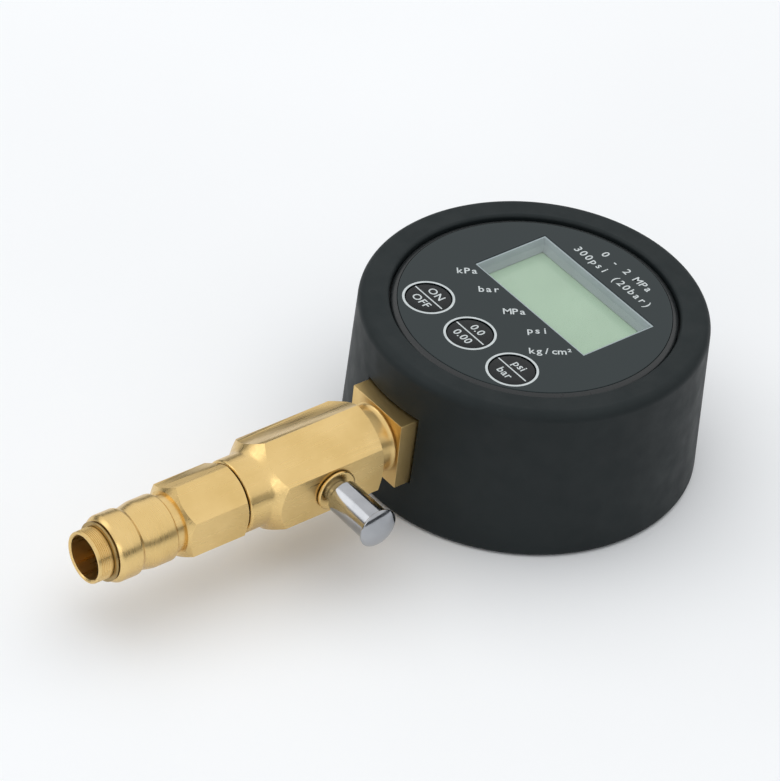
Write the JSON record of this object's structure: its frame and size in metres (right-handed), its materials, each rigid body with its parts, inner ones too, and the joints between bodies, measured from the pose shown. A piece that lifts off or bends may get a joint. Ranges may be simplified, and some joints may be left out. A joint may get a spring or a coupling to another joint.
{
  "type": "compression tester gauge",
  "caption": "Digital pressure gauge in a rubber boot, its brass stem carrying a push bleed valve and a quick coupler with a sliding sleeve.",
  "frame": {"origin": "middle of the boot's flat back face", "axes": "+Z out of the dial; +Y towards the dial's top, so the stem points along -Y; +X to the reader's right, where the bleed valve is"},
  "size_m": [0.082, 0.1637, 0.04],
  "materials": {
    "boot_rubber": "satin charcoal moulded rubber",
    "case_plastic": "matt black moulded plastic",
    "panel": "glossy dark plastic with plain white lettering",
    "clear": "clear window",
    "display": "pale grey-green display",
    "pale_plastic": "pale moulded plastic",
    "board": "circuit board",
    "cell": "wrapped battery",
    "lead": "insulated lead",
    "seal": "black seal rubber",
    "chrome": "polished chrome plate",
    "brass": "satin machined brass",
    "steel": "plated steel"
  },
  "bodies": {
    "gauge": {"battery_cell_a": "cell", "battery_cell_b": "cell", "battery_door": "case_plastic", "battery_lead_left": "lead", "battery_lead_right": "lead", "battery_spring_a": "steel", "battery_spring_b": "steel", "bezel": "case_plastic", "bleed_seat": "brass", "bleed_spring": "steel", "board_screw_1": "steel", "board_screw_2": "steel", "board_screw_3": "steel", "circuit_board": "board", "contact_plate_left": "steel", "contact_plate_right": "steel", "coupler_body": "brass", "cover_screw_1": "steel", "cover_screw_2": "steel", "cover_screw_3": "steel", "cover_screw_4": "steel", "door_screw": "steel", "face_panel": "panel", "gauge_case": "case_plastic", "gauge_socket": "brass", "lcd_backlight": "pale_plastic", "lcd_frame": "pale_plastic", "lcd_glass": "display", "lcd_window": "clear", "mouth_seal": "seal", "pressure_sensor": "steel", "rear_cover": "case_plastic", "retaining_ring": "steel", "rubber_boot": "boot_rubber", "sensor_lead": "lead", "sleeve_spring": "steel", "socket_nut": "brass", "socket_oring": "seal", "tact_switch_left": "board", "tact_switch_middle": "board", "tact_switch_right": "board", "valve_body": "brass"},
    "left_key": {"key_left": "panel"},
    "middle_key": {"key_middle": "panel"},
    "right_key": {"key_right": "panel"},
    "bleed_valve": {"bleed_button": "chrome", "bleed_pin": "steel", "bleed_disc": "seal"},
    "sleeve": {"coupler_sleeve": "brass"},
    "ball_1": {"lock_ball_1": "steel"},
    "ball_2": {"lock_ball_2": "steel"},
    "ball_3": {"lock_ball_3": "steel"},
    "ball_4": {"lock_ball_4": "steel"}
  },
  "joints": [
    {"name": "left_key_press", "type": "slide", "parent": "gauge", "child": "left_key", "axis": [0, 0, -1], "range_m": [0, 0.0005], "stiffness_N_per_m": 1500, "springref_m": -0.0006},
    {"name": "middle_key_press", "type": "slide", "parent": "gauge", "child": "middle_key", "axis": [0, 0, -1], "range_m": [0, 0.0005], "stiffness_N_per_m": 1500, "springref_m": -0.0006},
    {"name": "right_key_press", "type": "slide", "parent": "gauge", "child": "right_key", "axis": [0, 0, -1], "range_m": [0, 0.0005], "stiffness_N_per_m": 1500, "springref_m": -0.0006},
    {"name": "bleed_press", "type": "slide", "parent": "gauge", "child": "bleed_valve", "axis": [-1, 0, 0], "range_m": [0, 0.0015], "stiffness_N_per_m": 2000, "springref_m": -0.002, "deforming": ["bleed_spring"]},
    {"name": "sleeve_slide", "type": "slide", "parent": "gauge", "child": "sleeve", "axis": [0, 1, 0], "range_m": [0, 0.002], "stiffness_N_per_m": 1500, "springref_m": -0.004, "deforming": ["sleeve_spring"]},
    {"name": "ball_1_lift", "type": "slide", "parent": "gauge", "child": "ball_1", "axis": [0.7071, 0, 0.7071], "range_m": [0, 0.0009]},
    {"name": "ball_2_lift", "type": "slide", "parent": "gauge", "child": "ball_2", "axis": [0.7071, 0, -0.7071], "range_m": [0, 0.0009]},
    {"name": "ball_3_lift", "type": "slide", "parent": "gauge", "child": "ball_3", "axis": [-0.7071, 0, -0.7071], "range_m": [0, 0.0009]},
    {"name": "ball_4_lift", "type": "slide", "parent": "gauge", "child": "ball_4", "axis": [-0.7071, 0, 0.7071], "range_m": [0, 0.0009]}
  ],
  "couplings": [
    {"joint": "ball_1_lift", "follows": "sleeve_slide", "ratio": 0.4},
    {"joint": "ball_2_lift", "follows": "sleeve_slide", "ratio": 0.4},
    {"joint": "ball_3_lift", "follows": "sleeve_slide", "ratio": 0.4},
    {"joint": "ball_4_lift", "follows": "sleeve_slide", "ratio": 0.4}
  ]
}
